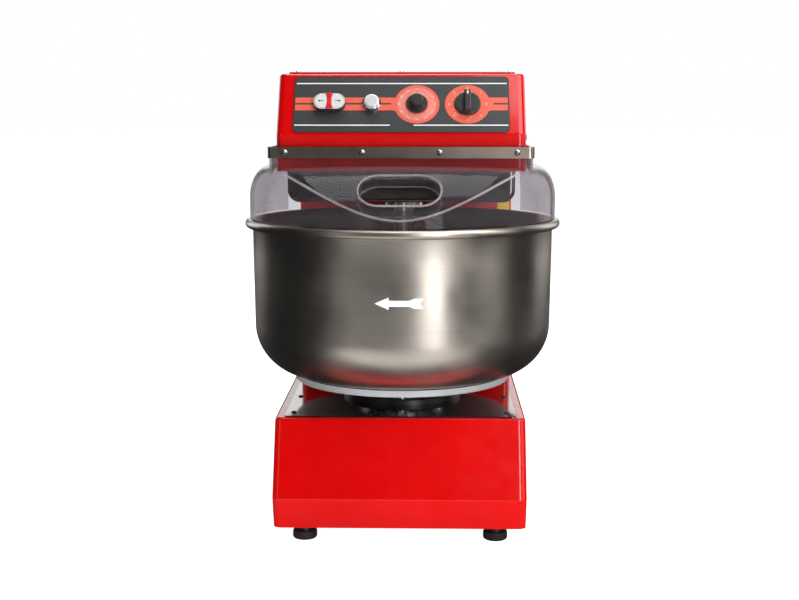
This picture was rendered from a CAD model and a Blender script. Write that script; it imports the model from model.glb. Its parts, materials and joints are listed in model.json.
"""A commercial spiral dough mixer, seen from the front on a pale studio floor."""
import json
import math
import bmesh
import bpy
from mathutils import Euler, Matrix, Vector


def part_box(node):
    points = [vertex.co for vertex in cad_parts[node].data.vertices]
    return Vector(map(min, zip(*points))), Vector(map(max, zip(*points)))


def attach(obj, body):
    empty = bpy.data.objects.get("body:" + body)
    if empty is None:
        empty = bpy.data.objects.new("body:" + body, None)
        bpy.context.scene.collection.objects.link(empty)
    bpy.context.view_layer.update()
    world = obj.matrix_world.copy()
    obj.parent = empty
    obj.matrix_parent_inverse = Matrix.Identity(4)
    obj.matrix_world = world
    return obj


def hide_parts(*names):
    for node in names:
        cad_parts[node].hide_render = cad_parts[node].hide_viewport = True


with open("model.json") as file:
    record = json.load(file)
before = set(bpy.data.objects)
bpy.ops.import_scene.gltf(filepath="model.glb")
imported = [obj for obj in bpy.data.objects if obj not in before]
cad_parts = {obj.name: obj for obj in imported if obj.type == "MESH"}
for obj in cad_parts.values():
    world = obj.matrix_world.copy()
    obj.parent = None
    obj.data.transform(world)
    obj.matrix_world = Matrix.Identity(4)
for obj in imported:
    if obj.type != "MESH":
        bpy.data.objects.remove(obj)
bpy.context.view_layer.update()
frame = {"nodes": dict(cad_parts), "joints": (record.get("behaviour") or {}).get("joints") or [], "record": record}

NODES = frame["nodes"]
JOINTS = {j["name"]: j for j in frame["joints"]}
MM = 0.001


# ---- places taken from the frame -------------------------------------------------------------------------

bowl_low, bowl_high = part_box("bowl")
BOWL_Y = (bowl_low.y + bowl_high.y) / 2
BEAD_OUTER = (bowl_high.x - bowl_low.x) / 2
BEAD_WIRE = 7 * MM
BEAD_Z = bowl_high.z - BEAD_WIRE

PANEL_OUT = -Vector(JOINTS["timer_turn"]["axis"])
PANEL_UP = Vector((0, PANEL_OUT.z, -PANEL_OUT.y))
PANEL_ACROSS = Vector((1, 0, 0))
panel_low, panel_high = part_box("control_panel")
TIMER_X = JOINTS["timer_turn"]["pos_m"][0]
SELECTOR_X = JOINTS["selector_turn"]["pos_m"][0]
PLATE_T = 1.5 * MM
KNOB_JOINT_RISE = 10 * MM       # the knob joints lie this far above the plate's back
timer_pos = Vector(JOINTS["timer_turn"]["pos_m"])
PANEL_ORIGIN = timer_pos - PANEL_ACROSS * TIMER_X - PANEL_OUT * (KNOB_JOINT_RISE - PLATE_T)
PANEL_MATRIX = Matrix.Translation(PANEL_ORIGIN) @ Matrix(
    (PANEL_ACROSS, PANEL_UP, PANEL_OUT)).transposed().to_4x4()
PLATE_HALF = (panel_high.x - panel_low.x) / 2
PLATE_HALF_H = 52.5 * MM
pair_low, pair_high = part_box("button_bezel")
PAIR_X = (pair_low.x + pair_high.x) / 2


# ---- material helpers ------------------------------------------------------------------------------------

class Tree:
    """A small wrapper that makes and joins shader nodes."""

    def __init__(self, name):
        self.material = bpy.data.materials.new(name)
        self.material.use_nodes = True
        self.tree = self.material.node_tree
        self.tree.nodes.clear()
        self.output = self.add("ShaderNodeOutputMaterial")
        self.shader = self.add("ShaderNodeBsdfPrincipled")
        self.join(self.shader, "BSDF", self.output, "Surface")
        self.place = self.add("ShaderNodeTexCoord")

    def add(self, kind, **values):
        node = self.tree.nodes.new(kind)
        for key, value in values.items():
            setattr(node, key, value)
        return node

    def join(self, source, out, target, socket):
        self.tree.links.new(source.outputs[out], target.inputs[socket])

    def set(self, **sockets):
        for key, value in sockets.items():
            self.shader.inputs[key.replace("_", " ")].default_value = value

    def noise(self, scale, stretch=(1, 1, 1), detail=3.0, rough=0.55):
        """Noise in the object's own coordinates, stretched along each axis."""
        mapping = self.add("ShaderNodeMapping")
        mapping.inputs["Scale"].default_value = stretch
        self.join(self.place, "Object", mapping, "Vector")
        texture = self.add("ShaderNodeTexNoise")
        texture.inputs["Scale"].default_value = scale
        texture.inputs["Detail"].default_value = detail
        texture.inputs["Roughness"].default_value = rough
        self.join(mapping, "Vector", texture, "Vector")
        return texture

    def ramp(self, source, out, stops):
        """stops: (position, colour or grey value) pairs."""
        ramp = self.add("ShaderNodeValToRGB")
        while len(ramp.color_ramp.elements) < len(stops):
            ramp.color_ramp.elements.new(0.5)
        for element, (position, colour) in zip(ramp.color_ramp.elements, stops):
            element.position = position
            element.color = (*colour, 1) if isinstance(colour, tuple) else (colour, colour, colour, 1)
        self.join(source, out, ramp, "Fac")
        return ramp

    def bump(self, source, out, strength, distance):
        """A bumpy surface on the main shader."""
        bump = self.add("ShaderNodeBump")
        bump.inputs["Strength"].default_value = strength
        bump.inputs["Distance"].default_value = distance
        self.join(source, out, bump, "Height")
        self.join(bump, "Normal", self.shader, "Normal")


def paint(name, colour, dark, roughness=0.2, coat=0.45):
    """Powder coat: an orange-peel skin, faint cloudiness and a clear gloss."""
    t = Tree(name)
    cloud = t.noise(6.0, detail=4.0)
    t.join(t.ramp(cloud, "Fac", [(0.35, dark), (0.7, colour)]), "Color", t.shader, "Base Color")
    peel = t.noise(420.0, detail=2.0)
    t.bump(peel, "Fac", 0.10, 0.0004)
    t.join(t.ramp(t.noise(35.0), "Fac", [(0.3, roughness * 0.85), (0.75, roughness * 1.2)]), "Color",
           t.shader, "Roughness")
    t.set(Coat_Weight=coat, Coat_Roughness=0.06, IOR=1.5, Specular_IOR_Level=0.35)
    return t.material


def brushed(name, colour, dark, stretch, roughness, anisotropic=0.0, grain=1.0, turned=False):
    """Brushed steel: long fine scratches in the stretch direction, with slow cloudiness under them."""
    t = Tree(name)
    grain_noise = t.noise(1.0, stretch=stretch, detail=6.0, rough=0.7)
    t.join(t.ramp(grain_noise, "Fac", [(0.25, dark), (0.75, colour)]), "Color", t.shader, "Base Color")
    slow = t.noise(9.0, detail=3.0)
    t.join(t.ramp(slow, "Fac", [(0.3, roughness * 0.8), (0.7, roughness * 1.25)]), "Color",
           t.shader, "Roughness")
    t.bump(grain_noise, "Fac", 0.12 * grain, 0.0003)
    t.set(Metallic=1.0, Anisotropic=anisotropic)
    if turned:
        tangent = t.add("ShaderNodeTangent", direction_type="RADIAL", axis="Z")
        t.join(tangent, "Tangent", t.shader, "Tangent")
        t.set(Anisotropic_Rotation=0.25)
    return t.material


def metal(name, colour, dark, roughness, scale=60.0, depth=0.05):
    """Plain metal with a fine worn surface."""
    t = Tree(name)
    wear = t.noise(scale, detail=5.0)
    t.join(t.ramp(wear, "Fac", [(0.3, dark), (0.65, colour)]), "Color", t.shader, "Base Color")
    t.join(t.ramp(t.noise(scale * 2.5), "Fac", [(0.3, roughness * 0.7), (0.75, roughness * 1.3)]), "Color",
           t.shader, "Roughness")
    t.bump(wear, "Fac", depth, 0.0003)
    t.set(Metallic=1.0)
    return t.material


def plastic(name, colour, dark, roughness, scale=260.0, depth=0.15, coat=0.0):
    """Moulded plastic, rubber or film: a fine even texture and small changes of shade."""
    t = Tree(name)
    shade = t.noise(22.0, detail=3.0)
    t.join(t.ramp(shade, "Fac", [(0.35, dark), (0.7, colour)]), "Color", t.shader, "Base Color")
    skin = t.noise(scale, detail=2.0)
    t.join(t.ramp(skin, "Fac", [(0.3, roughness * 0.85), (0.7, min(1.0, roughness * 1.15))]), "Color",
           t.shader, "Roughness")
    t.bump(skin, "Fac", depth, 0.0002)
    t.set(Coat_Weight=coat, Coat_Roughness=0.08)
    return t.material


def satin_cap(name):
    """Pearl-chromed cap: bright and soft, with a faint cloud."""
    t = Tree(name)
    cloud = t.noise(90.0, detail=3.0)
    t.join(t.ramp(cloud, "Fac", [(0.35, 0.60), (0.7, 0.72)]), "Color", t.shader, "Base Color")
    t.bump(t.noise(600.0), "Fac", 0.03, 0.0001)
    t.set(Metallic=0.35, Roughness=0.33, Coat_Weight=0.4, Coat_Roughness=0.1)
    return t.material


def clear_plastic(name, extra=0.0, gloss_colour=(0.22, 0.21, 0.23)):
    """Clear sheet: what is behind shows through with a faint tint, and the gloss grows towards its edges."""
    t = Tree(name)
    t.tree.nodes.remove(t.shader)
    through = t.add("ShaderNodeBsdfTransparent")
    haze = t.noise(14.0, detail=3.0)
    t.join(t.ramp(haze, "Fac", [(0.3, (0.79, 0.775, 0.79)), (0.7, (0.84, 0.825, 0.84))]), "Color",
           through, "Color")
    gloss = t.add("ShaderNodeBsdfPrincipled")
    gloss.inputs["Base Color"].default_value = (*gloss_colour, 1)
    gloss.inputs["Specular IOR Level"].default_value = 1.0
    smear = t.noise(30.0, detail=4.0)
    t.join(t.ramp(smear, "Fac", [(0.3, 0.03), (0.8, 0.09)]), "Color", gloss, "Roughness")
    edge = t.add("ShaderNodeLayerWeight")
    edge.inputs["Blend"].default_value = 0.5
    mix = t.add("ShaderNodeMixShader")
    rise = [(0.0, 0.06 + extra), (0.5, 0.10 + extra), (0.8, 0.28 + extra), (1.0, 0.8)]
    t.join(t.ramp(edge, "Facing", rise), "Color", mix, "Fac")
    t.join(through, "BSDF", mix, 1)
    t.join(gloss, "BSDF", mix, 2)
    t.join(mix, "Shader", t.output, "Surface")
    return t.material


def pale_floor(name):
    """A pale matt floor that glows a little, so its shadows stay light."""
    t = Tree(name)
    shade = t.noise(3.0, detail=4.0)
    t.join(t.ramp(shade, "Fac", [(0.3, 0.84), (0.7, 0.87)]), "Color", t.shader, "Base Color")
    t.bump(t.noise(60.0), "Fac", 0.02, 0.0005)
    t.set(Roughness=0.7, Emission_Color=(1, 1, 1, 1), Emission_Strength=1.0, Specular_IOR_Level=0.2)
    return t.material


def all_materials():
    """Every material, by name; those named after a slot dress that slot's nodes."""
    red, red_dark = (0.60, 0.0015, 0.0015), (0.54, 0.001, 0.001)
    steel, steel_dark = (0.62, 0.565, 0.505), (0.47, 0.425, 0.375)
    made = {}

    def make(kind, name, *values, **extras):
        made[name] = kind(name, *values, **extras)

    make(paint, "red_paint", red, red_dark)
    make(brushed, "stainless", steel, steel_dark, (6, 6, 900), 0.28)
    make(brushed, "bowl_steel", steel, steel_dark, (3, 3, 1100), 0.36, 0.6, turned=True)
    make(brushed, "bar_steel", (0.42, 0.35, 0.30), (0.33, 0.275, 0.235), (6, 6, 900), 0.32)
    make(brushed, "dark_stainless", (0.40, 0.375, 0.35), (0.33, 0.31, 0.29), (8, 500, 500), 0.16)
    make(brushed, "rear_steel", steel, steel_dark, (6, 6, 900), 0.50, grain=0.6)
    make(brushed, "mirror_steel", (0.25, 0.235, 0.22), (0.21, 0.20, 0.185), (500, 6, 500), 0.09, grain=0.15)
    make(metal, "satin_steel", (0.66, 0.65, 0.64), (0.60, 0.59, 0.58), 0.30, 25.0, 0.008)
    make(metal, "zinc_steel", (0.78, 0.78, 0.79), (0.62, 0.63, 0.64), 0.22, 90.0)
    make(plastic, "black_steel", (0.030, 0.030, 0.033), (0.020, 0.020, 0.022), 0.42, 120.0)
    make(plastic, "black_iron", (0.028, 0.028, 0.032), (0.018, 0.018, 0.02), 0.38, 90.0, 0.35)
    make(plastic, "grey_aluminium", (0.32, 0.34, 0.37), (0.25, 0.27, 0.30), 0.45, 90.0, 0.3)
    make(metal, "bright_ring", (0.80, 0.80, 0.81), (0.70, 0.70, 0.71), 0.25, 40.0)
    make(plastic, "black_plastic", (0.022, 0.022, 0.023), (0.014, 0.014, 0.015), 0.30, coat=0.15)
    make(plastic, "panel_film", (0.029, 0.031, 0.033), (0.024, 0.026, 0.028), 0.42, 500.0, 0.08)
    make(metal, "chrome_trim", (0.86, 0.86, 0.87), (0.80, 0.80, 0.81), 0.12, 30.0, 0.02)
    make(plastic, "white_plastic", (0.62, 0.62, 0.61), (0.57, 0.57, 0.56), 0.28, coat=0.3)
    make(plastic, "red_plastic", (0.62, 0.012, 0.015), (0.54, 0.008, 0.010), 0.28, coat=0.3)
    make(clear_plastic, "clear_plastic")
    make(clear_plastic, "lid_lip", 0.20, (0.62, 0.58, 0.60))
    make(plastic, "rubber", (0.018, 0.018, 0.019), (0.012, 0.012, 0.012), 0.62, 160.0, 0.4)
    make(satin_cap, "cap_metal")
    make(plastic, "print_orange", (0.70, 0.105, 0.058), (0.65, 0.093, 0.050), 0.42, 500.0, 0.06)
    make(plastic, "print_white", (0.80, 0.80, 0.80), (0.74, 0.74, 0.74), 0.42, 500.0, 0.06)
    make(plastic, "print_pink", (0.92, 0.55, 0.45), (0.88, 0.50, 0.40), 0.42, 500.0, 0.06)
    make(plastic, "print_black", (0.02, 0.02, 0.02), (0.015, 0.015, 0.015), 0.4, 500.0, 0.06)
    make(plastic, "label_yellow", (0.85, 0.60, 0.02), (0.80, 0.55, 0.02), 0.40, 300.0, 0.05)
    make(plastic, "disc_steel", (0.42, 0.43, 0.44), (0.37, 0.38, 0.39), 0.35, 40.0, 0.01, coat=0.3)
    make(pale_floor, "floor")
    return made


MATERIAL = all_materials()

# CAD nodes that look different from their slot's usual finish
SPECIAL = {"lid_bar": "bar_steel", "bowl_support_disc": "disc_steel", "deck_plate": "mirror_steel",
           "head_underpan": "dark_stainless", "chrome_button": "cap_metal", "rear_cover": "rear_steel"}


def dress_frame():
    """Gives each CAD node its procedural material."""
    slot_of = {s["node"]: s["material_slot"] for s in frame["record"]["subparts"]}
    for name, node in NODES.items():
        material = MATERIAL[SPECIAL.get(name, slot_of[name])]
        node.data.materials.clear()
        node.data.materials.append(material)


# ---- mesh helpers ----------------------------------------------------------------------------------------

def finish_mesh(name, bm, material, body, smooth_deg=30.0, matrix=None, place=None):
    """Turns a bmesh into a piece with a material that rides on a body."""
    bmesh.ops.recalc_face_normals(bm, faces=bm.faces)
    mesh = bpy.data.meshes.new(name)
    bm.to_mesh(mesh)
    bm.free()
    if matrix is not None:
        mesh.transform(matrix)
    for face in mesh.polygons:
        face.use_smooth = True
    mesh.set_sharp_from_angle(angle=math.radians(smooth_deg))
    mesh.materials.append(MATERIAL[material])
    piece = bpy.data.objects.new(name, mesh)
    bpy.context.scene.collection.objects.link(piece)
    if place is not None:
        piece.location = place
    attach(piece, body)
    return piece


def prism(bm, outline, low, high):
    """An outline in x and y, drawn up from low to high."""
    base = [bm.verts.new((x, y, low)) for x, y in outline]
    top = [bm.verts.new((x, y, high)) for x, y in outline]
    bm.faces.new(base[::-1])
    bm.faces.new(top)
    count = len(outline)
    for i in range(count):
        j = (i + 1) % count
        bm.faces.new((base[i], base[j], top[j], top[i]))


def ring_prism(bm, outer, inner, low, high):
    """The band between two outlines that have the same number of points."""
    count = len(outer)
    rows = [[bm.verts.new((x, y, z)) for x, y in loop] for loop, z in
            ((outer, low), (outer, high), (inner, high), (inner, low))]
    for a, b in zip(rows, rows[1:] + rows[:1]):
        for i in range(count):
            j = (i + 1) % count
            bm.faces.new((a[i], a[j], b[j], b[i]))


def round_box(half_x, half_y, radius, cx=0.0, cy=0.0, steps=8):
    """A rectangle with round corners."""
    points = []
    corners = ((1, 1, 0), (-1, 1, 90), (-1, -1, 180), (1, -1, 270))
    for sx, sy, start in corners:
        for i in range(steps + 1):
            a = math.radians(start + 90 * i / steps)
            points.append((cx + sx * (half_x - radius) + radius * math.cos(a),
                           cy + sy * (half_y - radius) + radius * math.sin(a)))
    return points


def lathe(bm, profile, count):
    """A closed profile of (radius, z) points turned about the z axis."""
    rows = []
    for i in range(count):
        a = 2 * math.pi * i / count
        rows.append([bm.verts.new((r * math.cos(a), r * math.sin(a), z)) for r, z in profile])
    size = len(profile)
    for i in range(count):
        near, far = rows[i], rows[(i + 1) % count]
        for k in range(size):
            m = (k + 1) % size
            bm.faces.new((near[k], far[k], far[m], near[m]))


def arc(cx, cz, radius, start, end, steps):
    """Points on a circle in the (radius, z) plane, angles in degrees."""
    turns = [math.radians(start + (end - start) * i / steps) for i in range(steps + 1)]
    return [(cx + radius * math.cos(a), cz + radius * math.sin(a)) for a in turns]


# ---- printed panel ---------------------------------------------------------------------------------------

PRINT_LOW, PRINT_HIGH = 0.02 * MM, 0.16 * MM
STRIPE_TOP = (2.3 * MM, 12.6 * MM)
STRIPE_LOW = (-11.6 * MM, -0.7 * MM)
LINE_S, LINE_HALF = 39.3 * MM, 1.0 * MM
DIAL_R = 36.3 * MM


def panel_print(name, material, shapes, low=PRINT_LOW, high=PRINT_HIGH):
    """Flat printed shapes on the panel plate."""
    bm = bmesh.new()
    for outline in shapes:
        prism(bm, outline, low, high)
    return finish_mesh(name, bm, material, "frame", matrix=PANEL_MATRIX)


def bar_shape(x0, x1, s0, s1):
    """A plain rectangle on the panel."""
    return [(x0, s0), (x1, s0), (x1, s1), (x0, s1)]


def dial_shape(cx, neck):
    """A round dial whose edge runs out into the stripes: neck is -1 to the left, 1 to the right."""
    top, bottom = STRIPE_TOP[1], STRIPE_LOW[0]
    points = []
    for i in range(97):
        a = math.radians(20 + 320 * i / 96)
        points.append((math.cos(a) * DIAL_R, math.sin(a) * DIAL_R))
    reach = DIAL_R + 5 * MM
    points += [(reach, bottom), (reach, top)]
    return [(cx + neck * x, s) for x, s in points]


def radial_ticks(cx, inner, outer, width, turns):
    """Thin marks that point at a dial's middle, turns in degrees."""
    shapes = []
    for turn in turns:
        a = math.radians(turn)
        along, across = Vector((math.cos(a), math.sin(a))), Vector((-math.sin(a), math.cos(a)))
        start, end = Vector((cx, 0)) + along * inner, Vector((cx, 0)) + along * outer
        side = across * width / 2
        shapes.append([tuple(start - side), tuple(end - side), tuple(end + side), tuple(start + side)])
    return shapes


def numerals(name, labels, cx, radius, height):
    """Small dial numbers, as real text turned into a mesh and set round the dial."""
    pieces = []
    for text, turn in labels:
        curve = bpy.data.curves.new(name, "FONT")
        curve.body = text
        curve.size = height
        curve.align_x = "CENTER"
        curve.align_y = "CENTER"
        curve.extrude = 0.05 * MM
        curve.resolution_u = 3
        obj = bpy.data.objects.new(name, curve)
        bpy.context.scene.collection.objects.link(obj)
        bpy.context.view_layer.update()
        mesh = bpy.data.meshes.new_from_object(obj)
        bpy.data.objects.remove(obj)
        a = math.radians(turn)
        place = Matrix.Translation((cx + radius * math.cos(a), radius * math.sin(a), PRINT_HIGH + 0.08 * MM))
        mesh.transform(place)
        pieces.append(mesh)
    bm = bmesh.new()
    for mesh in pieces:
        bm.from_mesh(mesh)
    bmesh.ops.remove_doubles(bm, verts=bm.verts, dist=1e-7)
    return finish_mesh(name, bm, "print_white", "frame", matrix=PANEL_MATRIX)


def printed_panel():
    """The panel's lines, stripes, dials, scales and edge."""
    left, right = -PLATE_HALF + 2.5 * MM, PLATE_HALF - 2.5 * MM
    gap_left, gap_right = -18 * MM, 20 * MM
    panel_print("panel_lines", "print_white", [
        bar_shape(left + 1 * MM, right - 1 * MM, LINE_S - LINE_HALF, LINE_S + LINE_HALF),
        bar_shape(left, gap_left, -LINE_S - LINE_HALF, -LINE_S + LINE_HALF),
        bar_shape(gap_right, right, -LINE_S - LINE_HALF, -LINE_S + LINE_HALF)])
    stripes = [bar_shape(left, TIMER_X - DIAL_R - 4 * MM, *span) for span in (STRIPE_TOP, STRIPE_LOW)]
    stripes += [bar_shape(SELECTOR_X + DIAL_R + 4 * MM, right, *span) for span in (STRIPE_TOP, STRIPE_LOW)]
    panel_print("panel_stripes", "print_orange", stripes)
    panel_print("panel_dials", "print_orange", [dial_shape(TIMER_X, -1), dial_shape(SELECTOR_X, 1)],
                high=PRINT_HIGH - 0.02 * MM)
    bm = bmesh.new()
    outer = round_box(PLATE_HALF - 0.15 * MM, PLATE_HALF_H - 0.15 * MM, 8 * MM)
    inner = round_box(PLATE_HALF - 0.9 * MM, PLATE_HALF_H - 0.9 * MM, 7.3 * MM)
    ring_prism(bm, outer, inner, PRINT_LOW, PRINT_HIGH)
    finish_mesh("panel_edge_line", bm, "print_black", "frame", matrix=PANEL_MATRIX)
    low, high = PRINT_HIGH - 0.02 * MM, PRINT_HIGH + 0.04 * MM      # the marks lie on the dials
    minutes = [90 - 6 * i for i in range(60) if i % 5]
    marks = radial_ticks(TIMER_X, 19.5 * MM, 31.5 * MM, 0.4 * MM, minutes)
    marks += radial_ticks(TIMER_X, 19.5 * MM, 24.0 * MM, 0.4 * MM, [90 - 30 * i for i in range(12)])
    panel_print("timer_ticks", "print_white", marks, low, high)
    scale = [90 - 7.5 * i for i in range(-14, 15) if abs(i) % 4 and abs(i) > 2]
    lower = [180 + 90 - t for t in scale]
    marks = radial_ticks(SELECTOR_X, 23.5 * MM, 27.0 * MM, 0.6 * MM, lower)
    panel_print("selector_ticks", "print_pink", marks, low, high)
    minute_labels = [(str(5 * i), 90 - 30 * i) for i in range(12)]
    numerals("timer_numbers", minute_labels, TIMER_X, 28.3 * MM, 5.0 * MM)
    speed_labels = [(str(i), 90 - 45 * i) for i in range(8)]
    numerals("selector_numbers", speed_labels, SELECTOR_X, 30.0 * MM, 5.2 * MM)


# ---- control details -------------------------------------------------------------------------------------

def panel_height(node):
    """How far a CAD node stands out from the panel's face."""
    return max((v.co - PANEL_ORIGIN).dot(PANEL_OUT) for v in NODES[node].data.vertices)


def arrow_outline(length, height, head, shaft, flip):
    """A plain arrow along x, its tip at +length/2, or at -length/2 when flip is -1."""
    half, tip = length / 2, length / 2 - head
    points = [(-half, -shaft / 2), (tip, -shaft / 2), (tip, -height / 2), (half, 0), (tip, height / 2),
              (tip, shaft / 2), (-half, shaft / 2)]
    return [(flip * x, y) for x, y in points]


def button_arrows():
    """The printed arrows on the two push buttons, pointing away from each other."""
    for side, body in ((-1, "left_button"), (1, "right_button")):
        low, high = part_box(body)
        top = panel_height(body)
        x = (low.x + high.x) / 2
        outline = arrow_outline(9.5 * MM, 4.4 * MM, 3.6 * MM, 1.2 * MM, side)
        bm = bmesh.new()
        prism(bm, [(px + x, py) for px, py in outline], top - 0.03 * MM, top + 0.07 * MM)
        finish_mesh(body + "_arrow", bm, "print_black", body, matrix=PANEL_MATRIX)


def stadium_outline(half, radius, cx, steps=24):
    """A shape with two straight sides and round ends."""
    flat = half - radius
    right = [math.radians(-90 + 180 * i / steps) for i in range(steps + 1)]
    left = [math.radians(90 + 180 * i / steps) for i in range(steps + 1)]
    return ([(cx + flat + radius * math.cos(a), radius * math.sin(a)) for a in right] +
            [(cx - flat + radius * math.cos(a), radius * math.sin(a)) for a in left])


# the lid's roll and wall, and the middle and tilt of its feed opening
SLANT_R, SLANT_Y, CROWN_Z, LID_R = 165 * MM, -264 * MM, 598 * MM, 256 * MM
CREASE_HALF, CREASE_INSET = 0.186, 1.8 * MM
FEED_AT, FEED_TILT = Vector((0, -369 * MM, 558 * MM)), 48.0
FEED_MATRIX = Matrix.Translation(FEED_AT) @ Matrix.Rotation(math.radians(90 - FEED_TILT), 4, "X")


def tube(name, path, radius, material, body, closed=True, sides=12):
    """A round bead along a path of points."""
    bm = bmesh.new()
    count = len(path)
    rows = []
    for i, point in enumerate(path):
        ahead = path[(i + 1) % count] if closed or i + 1 < count else point
        back = path[i - 1] if closed or i else point
        along = (ahead - back).normalized()
        side = along.cross(Vector((0, 0.31, 0.95))).normalized()
        up = side.cross(along)
        turns = [2 * math.pi * k / sides for k in range(sides)]
        rows.append([bm.verts.new(point + (side * math.cos(a) + up * math.sin(a)) * radius) for a in turns])
    for i in range(count if closed else count - 1):
        near, far = rows[i], rows[(i + 1) % count]
        for k in range(sides):
            m = (k + 1) % sides
            bm.faces.new((near[k], near[m], far[m], far[k]))
    if not closed:
        bm.faces.new(rows[0][::-1])
        bm.faces.new(rows[-1])
    return finish_mesh(name, bm, material, body, 60.0)


def lid_trim():
    """The rounded lip of the feed opening and the soft roll where the lid's slant meets its wall."""
    outline = stadium_outline(64.6 * MM, 32.6 * MM, 0)
    for name, rise, radius in (("feed_lip", 3.4 * MM, 1.7 * MM), ("feed_foot", -21.6 * MM, 1.2 * MM)):
        tube(name, [FEED_MATRIX @ Vector((x, y, rise)) for x, y in outline], radius, "lid_lip", "lid")
    crease = []
    for i in range(97):
        x = -CREASE_HALF + 2 * CREASE_HALF * i / 96
        y = BOWL_Y - math.sqrt((LID_R - CREASE_INSET) ** 2 - x * x)
        z = CROWN_Z - SLANT_R + math.sqrt((SLANT_R - CREASE_INSET) ** 2 - (y - SLANT_Y) ** 2)
        crease.append(Vector((x, y, z)))
    tube("lid_crease", crease, 1.9 * MM, "lid_lip", "lid", closed=False)


def bezel_ring():
    """The bright ring round the pair of push buttons, proud of the black collar's top."""
    top = panel_height("button_bezel")
    outer = stadium_outline(25.6 * MM, 14.6 * MM, PAIR_X)
    inner = stadium_outline(24.4 * MM, 13.4 * MM, PAIR_X)
    bm = bmesh.new()
    ring_prism(bm, outer, inner, top - 0.6 * MM, top + 0.35 * MM)
    finish_mesh("bezel_ring", bm, "cap_metal", "frame", matrix=PANEL_MATRIX)


def selector_mark():
    """The white mark on the selector knob's bar."""
    top = panel_height("selector_knob")
    outline = round_box(1.1 * MM, 3.0 * MM, 1.0 * MM, SELECTOR_X, 13.5 * MM, 4)
    bm = bmesh.new()
    prism(bm, outline, top - 0.05 * MM, top + 0.12 * MM)
    finish_mesh("selector_mark", bm, "print_white", "selector_knob", matrix=PANEL_MATRIX)


# ---- bowl ------------------------------------------------------------------------------------------------

WALL_TOP_R, WALL_LOW_R, BOWL_CORNER = 252 * MM, 250 * MM, 85 * MM
WALL_LOW_Z = bowl_low.z + BOWL_CORNER
WALL_TOP_Z = BEAD_Z - 9 * MM


def bowl_radius(z):
    """The bowl's outer radius at a height of its wall."""
    return WALL_LOW_R + (WALL_TOP_R - WALL_LOW_R) * (z - WALL_LOW_Z) / (WALL_TOP_Z - WALL_LOW_Z)


def turned_bowl():
    """The bowl, turned finely about its own axis so that its brushing and highlights run true."""
    sheet, corner, floor_z = 2 * MM, BOWL_CORNER, bowl_low.z
    top_r, low_r, wall_z = WALL_TOP_R, WALL_LOW_R, WALL_LOW_Z
    bead_r = BEAD_OUTER - BEAD_WIRE
    outer = [(0.0, floor_z), (0.06, floor_z), (low_r - corner - 0.03, floor_z)]
    outer += arc(low_r - corner, wall_z, corner, -90, 0, 24)
    rim = arc(bead_r, BEAD_Z, BEAD_WIRE, -128, 140, 28)
    for t in (0.25, 0.5, 0.75, 1.0):
        outer.append((low_r + (top_r - low_r) * t, wall_z + (WALL_TOP_Z - wall_z) * t))
    inner = [(r - sheet, z) for r, z in outer[-1:-5:-1]]
    inner += arc(low_r - corner, wall_z, corner - sheet, 0, -90, 24)
    inner += [(0.06, floor_z + sheet), (0.0, floor_z + sheet)]
    profile = outer + rim + inner
    bm = bmesh.new()
    lathe(bm, profile, 256)
    bmesh.ops.remove_doubles(bm, verts=bm.verts, dist=1e-6)
    bowl = finish_mesh("turned_bowl", bm, "bowl_steel", "bowl", 40.0, place=(0, BOWL_Y, 0))
    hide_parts("bowl")


def bowl_arrow():
    """A plain direction arrow with a fletched tail, printed on the bowl's front and curved with it."""
    length, height, centre_z = 76 * MM, 19 * MM, 0.390
    half, shaft, tail = length / 2, 4.6 * MM, height / 2 - 1.7 * MM
    # along, inner and outer half-height: tip, barbs, shaft, tail feathers and notch
    stations = [(-half, 0.0, 0.0), (-half + 22 * MM, 0.0, height / 2), (-half + 22.01 * MM, 0.0, shaft),
                (half - 22 * MM, 0.0, shaft), (half - 15 * MM, 0.0, tail),
                (half - 6.5 * MM, 0.0, tail), (half, height / 2 - 1.8 * MM, tail)]
    bm = bmesh.new()
    columns = []
    for (xa, ia, oa), (xb, ib, ob) in zip(stations, stations[1:]):
        steps = max(1, round((xb - xa) / (4 * MM)))
        for k in range(steps + (xb == half)):
            t = k / steps
            columns.append((xa + (xb - xa) * t, ia + (ib - ia) * t, oa + (ob - oa) * t))
    for side in (1, -1):
        rows = [[bm.verts.new((x, 0, side * inner)), bm.verts.new((x, 0, side * outer))]
                for x, inner, outer in columns]
        for near, far in zip(rows, rows[1:]):
            bm.faces.new((near[0], near[1], far[1], far[0]))
    bmesh.ops.remove_doubles(bm, verts=bm.verts, dist=0.02 * MM)
    for v in bm.verts:
        radius = bowl_radius(centre_z + v.co.z) + 0.25 * MM
        a = v.co.x / radius
        v.co = Vector((radius * math.sin(a), BOWL_Y - radius * math.cos(a), centre_z + v.co.z))
    bmesh.ops.recalc_face_normals(bm, faces=bm.faces)
    bmesh.ops.solidify(bm, geom=bm.faces[:], thickness=0.12 * MM)
    finish_mesh("bowl_arrow", bm, "print_white", "bowl")


# ---- small trim ------------------------------------------------------------------------------------------

def column_label():
    """A plain yellow sticker on the column's front."""
    low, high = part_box("column_shell")
    bm = bmesh.new()
    outline = round_box(11 * MM, 9 * MM, 1.5 * MM, high.x - 15 * MM, 0.503)
    prism(bm, outline, 0.02 * MM, 0.18 * MM)
    turn = Matrix.Translation((0, low.y, 0)) @ Matrix.Rotation(math.radians(90), 4, "X")
    finish_mesh("column_label", bm, "label_yellow", "frame", matrix=turn)


# ---- stage, light and camera -----------------------------------------------------------------------------

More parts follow.
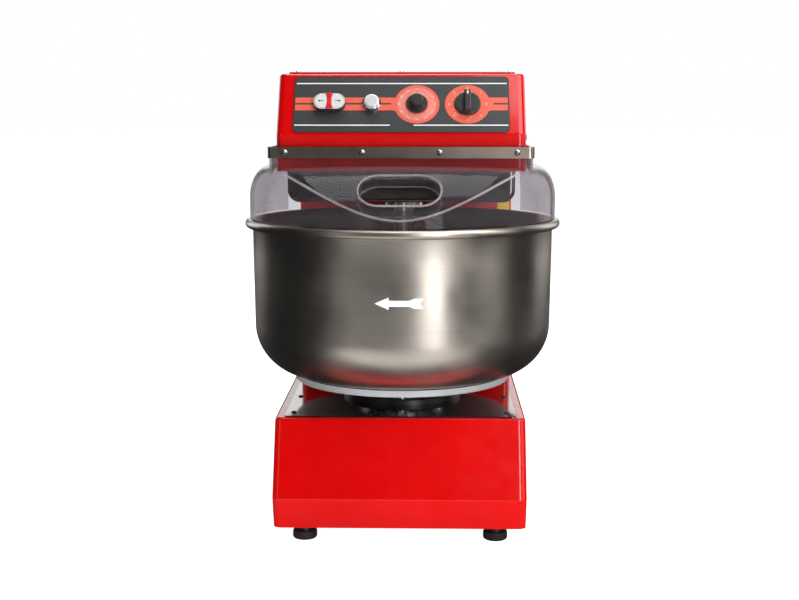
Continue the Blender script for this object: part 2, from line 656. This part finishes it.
def area_light(name, place, aim, size_x, size_y, power):
    data = bpy.data.lights.new(name, "AREA")
    data.shape = "RECTANGLE"
    data.size = size_x
    data.size_y = size_y
    data.energy = power
    lamp = bpy.data.objects.new(name, data)
    lamp.location = place
    lamp.rotation_euler = (Vector(aim) - Vector(place)).to_track_quat("-Z", "Y").to_euler()
    bpy.context.scene.collection.objects.link(lamp)


ROOM_LIGHT = 0.022
FLOOR_RADIUS = 40.0

# name, place, aim, width, height, watts
LIGHTS = [
    ("floor_bounce", (0.0, -0.82, 0.02), (0.0, -0.82, 1.0), 1.2, 0.5, 2.4),
    ("key_box", (1.02, -2.53, 1.05), (0, -0.15, 0.55), 0.58, 2.0, 30),
    ("side_box", (2.5, -1.2, 1.2), (0, -0.15, 0.5), 1.3, 1.8, 9),
    ("top_box", (1.42, -1.0, 2.6), (0.5, -0.3, 0.4), 1.85, 1.9, 46),
    ("ceiling", (-0.1, 0.35, 2.7), (0, 0.2, 0.5), 1.5, 1.5, 34),
    ("left_fill", (-1.75, -2.1, 1.3), (0, -0.1, 0.4), 0.9, 1.8, 3),
    ("back_left", (-2.0, 2.0, 1.2), (0, 0, 0.5), 1.4, 2.0, 10),
    ("back_right", (2.2, 1.8, 1.2), (0, 0, 0.5), 1.4, 2.0, 14),
    ("back_box", (0.0, 2.6, 1.6), (0, 0.2, 0.5), 2.0, 2.0, 18),
]


def floor_disc():
    """The studio floor, kept out of reflections so that the steel sees a dark room."""
    bm = bmesh.new()
    bmesh.ops.create_circle(bm, cap_ends=True, segments=96, radius=FLOOR_RADIUS)
    mesh = bpy.data.meshes.new("floor")
    bm.to_mesh(mesh)
    bm.free()
    mesh.materials.append(MATERIAL["floor"])
    floor = bpy.data.objects.new("floor", mesh)
    floor.visible_glossy = False
    bpy.context.scene.collection.objects.link(floor)


def studio():
    """Floor, soft boxes, and a world that is white where the camera sees it and a dim room elsewhere."""
    floor_disc()
    for light in LIGHTS:
        area_light(*light)
    world = bpy.data.worlds.new("studio")
    world.use_nodes = True
    tree = world.node_tree
    tree.nodes.clear()
    output = tree.nodes.new("ShaderNodeOutputWorld")
    mix = tree.nodes.new("ShaderNodeMixShader")
    seen = tree.nodes.new("ShaderNodeLightPath")
    room, backdrop = tree.nodes.new("ShaderNodeBackground"), tree.nodes.new("ShaderNodeBackground")
    room.inputs["Color"].default_value = (0.95, 0.97, 1.0, 1)
    room.inputs["Strength"].default_value = ROOM_LIGHT
    backdrop.inputs["Color"].default_value = (1, 1, 1, 1)
    backdrop.inputs["Strength"].default_value = 1.0
    tree.links.new(seen.outputs["Is Camera Ray"], mix.inputs["Fac"])
    tree.links.new(room.outputs["Background"], mix.inputs[1])
    tree.links.new(backdrop.outputs["Background"], mix.inputs[2])
    tree.links.new(mix.outputs["Shader"], output.inputs["Surface"])
    scene = bpy.context.scene
    scene.world = world
    scene.view_settings.view_transform = "Standard"
    scene.view_settings.look = "None"


CAMERA_LENS = 61.4                          # mm, on a 36 mm sensor
CAMERA_PLACE = (0.048, BOWL_Y - 2.305, 0.688)
CAMERA_DOWN, CAMERA_LEFT = 0.1412, 0.023     # turns from level and straight ahead, in radians


def camera():
    data = bpy.data.cameras.new("camera")
    data.sensor_width = 36.0
    data.lens = CAMERA_LENS
    cam = bpy.data.objects.new("camera", data)
    cam.location = CAMERA_PLACE
    cam.rotation_euler = Euler((math.pi / 2 - CAMERA_DOWN, 0, CAMERA_LEFT))
    bpy.context.scene.collection.objects.link(cam)
    bpy.context.scene.camera = cam


camera()
dress_frame()
printed_panel()
button_arrows()
bezel_ring()
lid_trim()
selector_mark()
bowl_arrow()
column_label()
turned_bowl()
studio()
